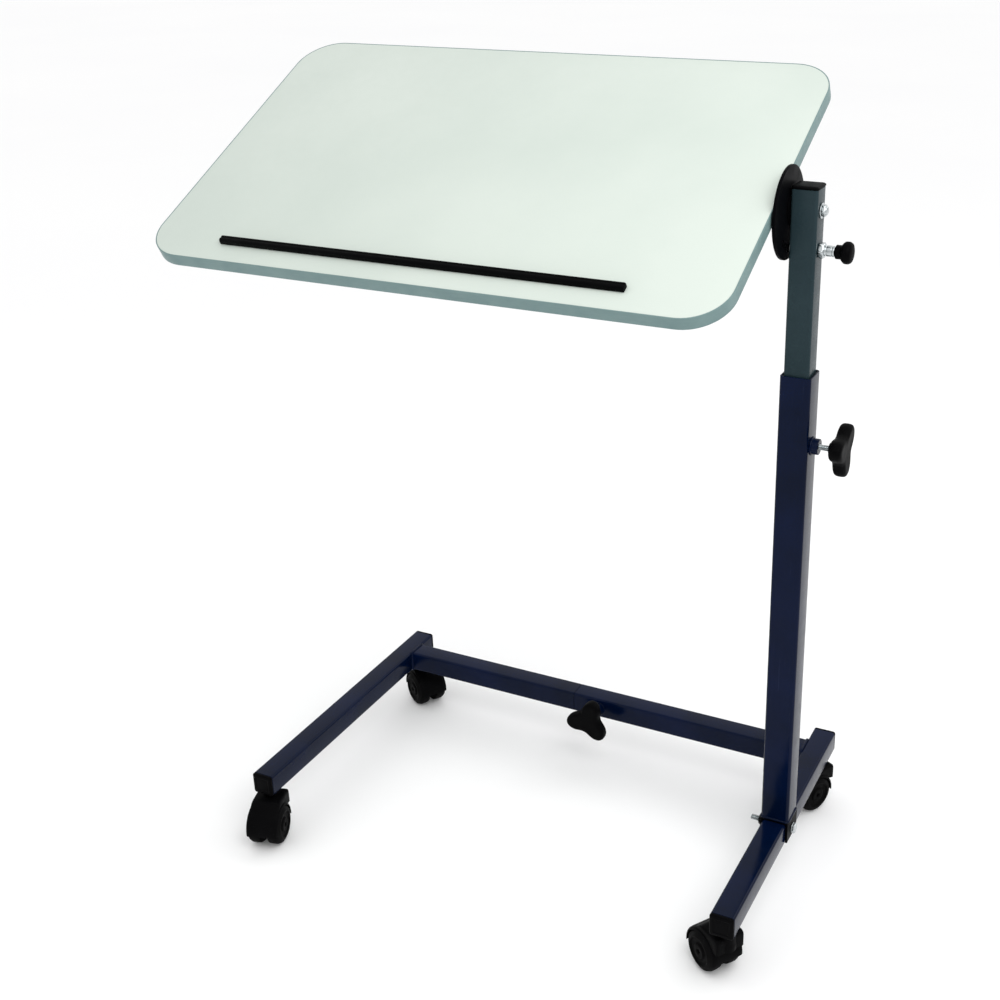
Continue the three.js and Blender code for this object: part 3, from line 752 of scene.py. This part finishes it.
def build_upright():
    straight_tube("inner_column", "z", INNER_CORNER)
    low, high = extent("inner_column_cap", column)
    side = high.x - low.x
    top = high.z
    lid = top - CAP_LID
    rings = []
    for inset, height in soften([
        (0.5, lid), (0.0, lid + 0.4), (0.0, lid + 1.7), (1.6, top - 0.25), (4.5, top - 0.02),
        (9.0, top),
    ], 0.8):
        width = side - 2 * inset
        rings.append(lifted(square(width, width, max(0.8, 3 - inset)), height))
    cap = Shape().rings(rings)

    def stem(inset):
        return square(CAP_STEM_SIDE - 2 * inset, CAP_STEM_SIDE - 2 * inset, 1)

    cap.prism(stem, low.z, lid + 1, 0.3)
    stand_in("inner_column_cap", cap, column)


def build_pivot():
    place = Matrix.Translation(pivot) @ TURNS["x"]
    low, high = extent("pivot_washer", place)
    washer = soften([
        (BORE, low.z), (WASHER_RADIUS, low.z), (WASHER_RADIUS, high.z), (BORE, high.z),
    ], 0.3, closed=True)
    stand_in("pivot_washer", Shape().lathe(washer, 48, closed=True), place)
    low, high = extent("pivot_nut", place)
    face = low.z
    nut = Shape().rings(hexagon_rings(PIVOT_NUT_FLATS, face, face + PIVOT_NUT_HEIGHT, 0.7))
    nut.lathe(soften([
        (4.4, face + 2.2), (4.4, face + 2.9), (3.9, face + 3.9), (2.5, face + 4.6),
        (0.05, high.z),
    ], 0.8), 40)
    stand_in("pivot_nut", nut, place)


def build_plunger():
    low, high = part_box("plunger_barrel")
    centre = (low + high) / 2
    place = Matrix.Translation((pivot.x, centre.y, centre.z)) @ TURNS["x"]
    low, high = extent("plunger_barrel", place)
    nut_end = low.z + PLUNGER_NUT_HEIGHT
    barrel = Shape().rings(hexagon_rings(PLUNGER_FLATS, low.z, nut_end))
    start, end = nut_end - 0.2, high.z
    barrel.lathe(soften([
        (3.2, start), (5.0, start), (5.0, start + 1.6), (4.6, start + 1.9), (4.6, start + 2.5),
        (5.0, start + 2.8), (5.0, end - 3.4), (4.7, end - 3.1), (4.7, end - 2.7),
        (5.0, end - 2.4), (5.0, end - 0.9), (4.3, end), (3.2, end),
    ], 0.25, closed=True), 48, closed=True)
    stand_in("plunger_barrel", barrel, place)
    low, high = extent("plunger_grip", place)
    start = low.z
    grip = Shape().lathe(soften([
        (0.05, start + 3.9), (5.35, start + 3.9), (5.35, start), (6.35, start),
        (6.3, start + 4.8), (8.4, start + 6.2), (9.9, start + 8.0), (10.0, start + 9.8),
        (10.0, start + 11.8), (8.7, start + 14.2), (5.6, start + 15.2), (1.5, start + 15.45),
        (0.05, high.z),
    ], 0.9), 56)
    stand_in("plunger_grip", grip, place)


build_upright()
build_pivot()
build_plunger()


# ------------------------------------------------------------- column and base

GAP = 0.3  # between pieces that touch
COLUMN_CORNER = 3.2
SADDLE_WALL = 2.5
SADDLE_BEND = 4.0
SADDLE_INNER_BEND = 1.6
BEND_STEPS = 6
BOLT_FLATS = 10.0
BOLT_DIAMETER = 6.0
BOLT_WASHER = 0.9
BOLT_WASHER_RADIUS = 5.6
BOLT_HEAD_TOP = 3.7
SADDLE_NUT_HEIGHT = 5.0
BASE_SIDE = 25.0
BASE_CORNER = 2.8
CAP_PLUG_SIDE = 21.3
CAP_PLUG_DEPTH = 4.7
SPIGOT_CORNER = 2.4


def build_column():
    low, high = extent("outer_column", column)
    side = high.x - low.x
    stand_in("outer_column", Shape().tube(side, COLUMN_CORNER, low.z, high.z), column)
    bead = Shape()
    ring = [(x, y, low.z) for x, y in square(side - 0.4, side - 0.4, COLUMN_CORNER)]
    bead.bead(ring, 1.5, (0, 0, 1))
    piece("column_weld", bead, column, "outer_column")


def build_saddle():
    """A U bracket over the foot, with a bolt, its washer and a nut through both legs."""
    low, high = extent("column_saddle", column)
    leg = high.x
    inner = leg - SADDLE_WALL
    roof = extent("outer_column", column)[0].z - GAP
    ceiling = roof - SADDLE_WALL
    section = soften(
        [(-leg, low.z), (-leg, roof), (leg, roof), (leg, low.z)], SADDLE_BEND, steps=BEND_STEPS,
    )
    section += soften(
        [(inner, low.z), (inner, ceiling), (-inner, ceiling), (-inner, low.z)],
        SADDLE_INNER_BEND, steps=BEND_STEPS,
    )
    shape = Shape().rings([[(x, y, z) for x, z in section] for y in (low.y, high.y)])
    stand_in("column_saddle", shape, column, bevel=0.4)

    bolt_low, bolt_high = extent("saddle_bolt", column)
    place = column @ shifted(0, 0, (bolt_low.z + bolt_high.z) / 2) @ TURNS["x"]
    face = leg + GAP
    washer_top = face + BOLT_WASHER
    bolt = Shape().rings(hexagon_rings(BOLT_FLATS, washer_top - 0.1, face + BOLT_HEAD_TOP, 0.8))
    bolt.lathe(soften([
        (0.05, face), (BOLT_WASHER_RADIUS, face), (BOLT_WASHER_RADIUS, washer_top),
        (0.05, washer_top),
    ], 0.3), 40)
    bolt.lathe([(BOLT_DIAMETER / 2, -face - 0.2), (BOLT_DIAMETER / 2, face + 0.2)], 24)
    bolt.thread(BOLT_DIAMETER, bolt_low.x, -face)
    stand_in("saddle_bolt", bolt, place)
    nut = Shape().rings(hexagon_rings(BOLT_FLATS, -face - SADDLE_NUT_HEIGHT, -face))
    stand_in("saddle_nut", nut, place)


def build_foot(side):
    node = f"foot_{side}"
    straight_tube(node, "y", BASE_CORNER)
    low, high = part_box(node)
    middle = (low + high) / 2
    for end, y, outward in (("front", low.y, -1), ("rear", high.y, 1)):
        cap = f"foot_cap_{side}_{end}"
        turn = Matrix.Rotation(-outward * math.pi / 2, 4, "X")
        place = Matrix.Translation((middle.x, y, middle.z)) @ turn
        thick = extent(cap, place)[1].z
        rings = []
        for inset, height in soften([
            (0.6, 0.3), (0.0, 0.7), (0.0, thick - 1.5), (1.3, thick - 0.6),
            (4.0, thick - 0.25), (4.6, thick - 0.8), (8.0, thick - 0.6), (10.5, thick - 0.55),
        ], 0.6):
            width = BASE_SIDE - 2 * inset
            rings.append(lifted(square(width, width, max(0.8, BASE_CORNER - inset)), height))
        plug_outline = square(CAP_PLUG_SIDE, CAP_PLUG_SIDE, 1)
        shape = Shape().rings(rings)
        shape.prism(lambda inset, plug=plug_outline: plug, -CAP_PLUG_DEPTH, 1.5, 0.0)
        stand_in(cap, shape, place)


def build_crossbar():
    straight_tube("crossbar_right", "x", BASE_CORNER)
    straight_tube("crossbar_left", "x", BASE_CORNER)
    straight_tube("crossbar_spigot", "x", SPIGOT_CORNER)
    ring = [(0.0, y, z) for y, z in square(BASE_SIDE, BASE_SIDE, BASE_CORNER)]
    for node, at_end in (("crossbar_right", True), ("crossbar_left", False)):
        low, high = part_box(node)
        middle = (low + high) / 2
        place = Matrix.Translation((high.x if at_end else low.x, middle.y, middle.z))
        piece(f"{node}_weld", Shape().bead(ring, 1.7, (1, 0, 0)), place, node)


CLAMP_SCREW = 5.9
GRIP_RADIUS = 28.0
GRIP_WAIST = 0.55  # share of the radius between two lobes
GRIP_LOBES = 3
GRIP_SHARPNESS = 1.3
GRIP_SIDES = 96
GRIP_HUB = 5.0
BOSS_RADIUS, BOSS_FOOT, BOSS_BORE = 7.7, 8.4, 3.4
BOSS_WELD_RADIUS, BOSS_WELD = 8.0, 1.1


def lobed(inset, height):
    """The outline of a three-lobed grip, lifted to a height."""
    ring = []
    for side in range(GRIP_SIDES):
        turn = math.tau * side / GRIP_SIDES
        wave = (1 + math.cos(GRIP_LOBES * turn)) / 2
        share = GRIP_WAIST + (1 - GRIP_WAIST) * wave ** GRIP_SHARPNESS
        reach = GRIP_RADIUS * share - inset
        ring.append((reach * math.cos(turn), reach * math.sin(turn), height))
    return ring


def build_clamp(prefix, spin):
    """The boss, screw and three-lobed grip, on a frame with Z out of the tube's face."""
    joint = joints[f"{prefix}_turn"]
    outward = Vector(joint["axis"])
    turn = Vector((0, 0, 1)).rotation_difference(outward).to_matrix().to_4x4()
    place = Matrix.Translation(Vector(joint["pos_m"])) @ turn
    boss_end = extent(f"{prefix}_boss", place)[1].z
    boss = Shape().lathe(soften([
        (BOSS_BORE, GAP), (BOSS_FOOT, GAP), (BOSS_RADIUS, 1.4), (BOSS_RADIUS, boss_end),
        (BOSS_BORE, boss_end),
    ], 0.7, closed=True), 48, closed=True)
    boss.bead(lifted(circle(BOSS_WELD_RADIUS, 72), 0.5), BOSS_WELD, (0, 0, 1), pitch=1.5)
    stand_in(f"{prefix}_boss", boss, place)

    low, high = extent(f"{prefix}_screw", place)
    stand_in(f"{prefix}_screw", Shape().thread(CLAMP_SCREW, low.z, high.z), place)

    low, high = extent(f"{prefix}_grip", place)
    hub_end, top = low.z + GRIP_HUB, high.z
    grip = Shape().lathe(soften([
        (3.3, low.z), (5.6, low.z), (6.0, low.z + 1.0), (6.0, hub_end + 1.5), (3.3, hub_end + 1.5),
    ], 0.5, closed=True), 48, closed=True)
    insets = [
        (5.0, hub_end), (2.4, hub_end + 0.4), (0.7, hub_end + 1.7), (0.0, hub_end + 4.0),
        (0.0, top - 4.2), (0.8, top - 1.8), (2.6, top - 0.5), (5.2, top), (9.5, top - 0.1),
    ]
    rings = [lobed(inset, height) for inset, height in soften(insets, 1.2)]
    grip.rings(rings, place=Matrix.Rotation(spin, 4, "Z"))
    stand_in(f"{prefix}_grip", grip, place)


build_column()
build_saddle()
for side in ("right", "left"):
    build_foot(side)
build_crossbar()
build_clamp("height_clamp", spin=0.2)
build_clamp("bar_clamp", spin=-0.8)


# -------------------------------------------------------------------- castors

WEB = 8.0  # thickness of the wall between a castor's wheels
WEB_HUB = 11.5  # radius of the wall round the axle
HOOD_SKIN = 2.1
HOOD_START, HOOD_SWEEP = math.radians(-5), math.radians(190)
HOOD_STEPS = 48
SHOULDER_START, SHOULDER_SWEEP = 0.6, 1.93
SHOULDER_FRONT = 8.0  # past the stem's axis
SHOULDER_DEPTH = 0.975  # how far the shoulder sinks into the skin, as a share of its radius
NECK_FOOT = 12.6
AXLE_RADIUS = 2.0
STEM_FLANGE = 2.4


def hood_section(radius, half):
    """Across the hood's skin, from one rim to the other, as (radius, x) points."""
    inside = radius - HOOD_SKIN
    return soften([
        (inside, -half + 0.8), (radius - 3.2, -half), (radius - 0.7, -half + 1.0),
        (radius, -half + 5.0), (radius, half - 5.0), (radius - 0.7, half - 1.0),
        (radius - 3.2, half), (inside, half - 0.8),
    ], 1.4, closed=True)


def build_hood(label, place, reach):
    """The skin over both wheels, the wall between them, the neck, the axle and a shoulder."""
    low, high = extent(f"castor_hood_{label}", place)
    half, radius, neck_top = high.x, high.y, high.z
    section = hood_section(radius, half)
    hood = Shape().rings([
        [(x, out * y, out * z) for out, x in section]
        for y, z in arc(1, HOOD_START, HOOD_SWEEP, HOOD_STEPS)
    ])
    web = arc(radius - 1, HOOD_START, HOOD_SWEEP, 32)
    web += arc(WEB_HUB, HOOD_START + HOOD_SWEEP, math.tau - HOOD_SWEEP, 24)
    hood.rings([[(x, y, z) for y, z in web] for x in (-WEB / 2, WEB / 2)])
    hood.lathe(soften([
        (10.6, NECK_FOOT), (10.6, 18.0), (10.2, 22.0), (10.0, neck_top - 1.0), (9.2, neck_top),
        (4.3, neck_top), (4.3, 20.0),
    ], 1.2), 48, place=Matrix.Translation((0, -reach, 0)))
    hood.lathe([(AXLE_RADIUS, -half + 1), (AXLE_RADIUS, half - 1)], 24, place=TURNS["x"])
    under = arc(radius, SHOULDER_START, SHOULDER_SWEEP, 24)

    def shoulder(inset):
        front, roof = -reach - SHOULDER_FRONT + inset, neck_top - 2 - inset
        start_y, start_z = under[0]
        outside = soften([
            (front, NECK_FOOT), (front, roof), (2.0, roof), (start_y, start_z - inset / 2),
        ], 4.5, steps=5)
        return outside + [(y * SHOULDER_DEPTH, z * SHOULDER_DEPTH) for y, z in under]

    side = half - 2.0
    stations = [(side, 1.6), (side - 0.4, 0.8), (side - 1.2, 0.2), (side - 2.4, 0.0)]
    stations += [(-x, inset) for x, inset in reversed(stations)]
    hood.rings([[(x, y, z) for y, z in shoulder(inset)] for x, inset in stations])
    stand_in(f"castor_hood_{label}", hood, place, bevel=0.25, turned=True)


def build_wheel(node, place):
    """A wheel with a rounded tread, a dished face and a hub, facing out from the web."""
    low, high = extent(node, place)
    near, far = sorted((abs(low.x), abs(high.x)))
    rim = high.z - 0.1
    wheel = Shape().lathe(soften([
        (2.2, near), (rim - 1.2, near), (rim - 0.4, near + 0.7), (rim, near + 4.5),
        (rim, far - 5.8), (rim - 1.6, far - 2.2), (rim - 4.0, far - 1.0), (rim - 6.1, far),
        (rim - 7.2, far - 0.2), (rim - 8.0, far - 1.8), (8.4, far - 2.2), (7.6, far - 0.5),
        (6.8, far - 0.1), (3.2, far - 0.1), (2.6, far - 0.8), (2.2, far - 0.8),
    ], 0.8, closed=True), 72, closed=True)
    facing = TURNS["x"] if abs(high.x) >= abs(low.x) else TURNS["x"].inverted()
    stand_in(node, wheel, place @ facing, turned=True)


def build_castor(label):
    """A castor on a frame at its wheels' axle, with X along the axle and Y away from the stem."""
    stem = Vector(joints[f"castor_swivel_{label}"]["pos_m"])
    hub = Vector(joints[f"wheel_spin_{label}_a"]["pos_m"])
    trail = Vector((hub.x - stem.x, hub.y - stem.y, 0))
    reach = trail.length / MM
    trail.normalize()
    up = Vector((0, 0, 1))
    turn = Matrix((trail.cross(up), trail, up)).transposed().to_4x4()
    place = Matrix.Translation(hub) @ turn

    stem_place = Matrix.Translation((stem.x, stem.y, 0))
    low, high = extent(f"castor_stem_{label}", stem_place)
    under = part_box("foot_right")[0].z / MM - GAP
    flange = under - STEM_FLANGE
    shaft = Shape().lathe(soften([
        (3.2, low.z), (4.0, low.z + 0.8), (4.0, flange), (8.5, flange), (8.5, under),
        (4.0, under), (4.0, high.z - 1), (3.0, high.z),
    ], 0.4), 40)
    stand_in(f"castor_stem_{label}", shaft, stem_place)
    build_hood(label, place, reach)
    for letter in "ab":
        build_wheel(f"castor_wheel_{label}_{letter}", place)


for label in ("right_front", "right_rear", "left_front", "left_rear"):
    build_castor(label)


# ------------------------------------------------------- floor, light, camera

FLOOR_HALF = 30.0
FLOOR_TONES = ((0.93, 0.93, 0.935, 1), (0.945, 0.945, 0.945, 1))
SKY_AT_HORIZON, SKY_OVERHEAD = 0.72, 1.14
SKY_BRIGHTEST = 0.8  # height on the unit sphere from which the sky is at its brightest
CAMERA_REACH = Vector((0.34826, -1.17378, 0.28067))  # from the tilt pivot
YAW, PITCH, ROLL = (math.radians(angle) for angle in (25.68, 22.72, 0.79))
LENS, SENSOR = 50.05, 36.0
SHIFT_X, SHIFT_Y = -0.0897, -0.0513


def build_floor():
    mesh = bpy.data.meshes.new("floor")
    corners = [(-1, -1), (1, -1), (1, 1), (-1, 1)]
    mesh.from_pydata([(x * FLOOR_HALF, y * FLOOR_HALF, 0) for x, y in corners],
                     [], [(0, 1, 2, 3)])
    floor = bpy.data.objects.new("floor", mesh)
    bpy.context.scene.collection.objects.link(floor)
    look = Look("floor", specular=0.1)
    tone = look.span(look.noise(0.8), 0.3, 0.7)
    floor.data.materials.append(look.done(look.blend(tone, *FLOOR_TONES), roughness=0.8))


def build_sky():
    """Soft light from overhead, dimmer towards the horizon."""
    world = bpy.data.worlds.new("studio")
    bpy.context.scene.world = world
    world.use_nodes = True
    nodes, links = world.node_tree.nodes, world.node_tree.links
    split = nodes.new("ShaderNodeSeparateXYZ")
    links.new(nodes.new("ShaderNodeTexCoord").outputs["Generated"], split.inputs[0])
    rise = nodes.new("ShaderNodeMapRange")
    links.new(split.outputs["Z"], rise.inputs["Value"])
    rise.inputs["From Min"].default_value = 0.0
    rise.inputs["From Max"].default_value = SKY_BRIGHTEST
    rise.inputs["To Min"].default_value = SKY_AT_HORIZON
    rise.inputs["To Max"].default_value = SKY_OVERHEAD
    nodes["Background"].inputs["Color"].default_value = (1, 1, 1, 1)
    links.new(rise.outputs["Result"], nodes["Background"].inputs["Strength"])


def build_light(name, place, aim, size, power):
    lamp = bpy.data.lights.new(name, "AREA")
    lamp.size = size
    lamp.energy = power
    item = bpy.data.objects.new(name, lamp)
    bpy.context.scene.collection.objects.link(item)
    item.location = place
    item.rotation_euler = (Vector(aim) - Vector(place)).to_track_quat("-Z", "Y").to_euler()


def build_camera():
    camera = bpy.data.objects.new("camera", bpy.data.cameras.new("camera"))
    bpy.context.scene.collection.objects.link(camera)
    ahead = Vector((
        -math.sin(YAW) * math.cos(PITCH), math.cos(YAW) * math.cos(PITCH), -math.sin(PITCH),
    ))
    right = Vector((math.cos(YAW), math.sin(YAW), 0))
    down = ahead.cross(right)
    across = math.cos(ROLL) * right + math.sin(ROLL) * down
    below = -math.sin(ROLL) * right + math.cos(ROLL) * down
    turn = Matrix((across, -below, -ahead)).transposed()
    camera.matrix_world = Matrix.Translation(pivot + CAMERA_REACH) @ turn.to_4x4()
    camera.data.lens = LENS
    camera.data.sensor_width = SENSOR
    camera.data.shift_x = SHIFT_X
    camera.data.shift_y = SHIFT_Y
    bpy.context.scene.camera = camera


build_floor()
build_sky()
build_light("overhead", place=(0.75, -0.55, 1.45), aim=(0.3, -0.15, 0.65), size=0.8, power=6.0)
build_light("behind", place=(1.0, 1.3, 1.3), aim=(0.85, 1.0, 0), size=1.0, power=4.0)
build_camera()
bpy.context.scene.view_settings.view_transform = "Standard"
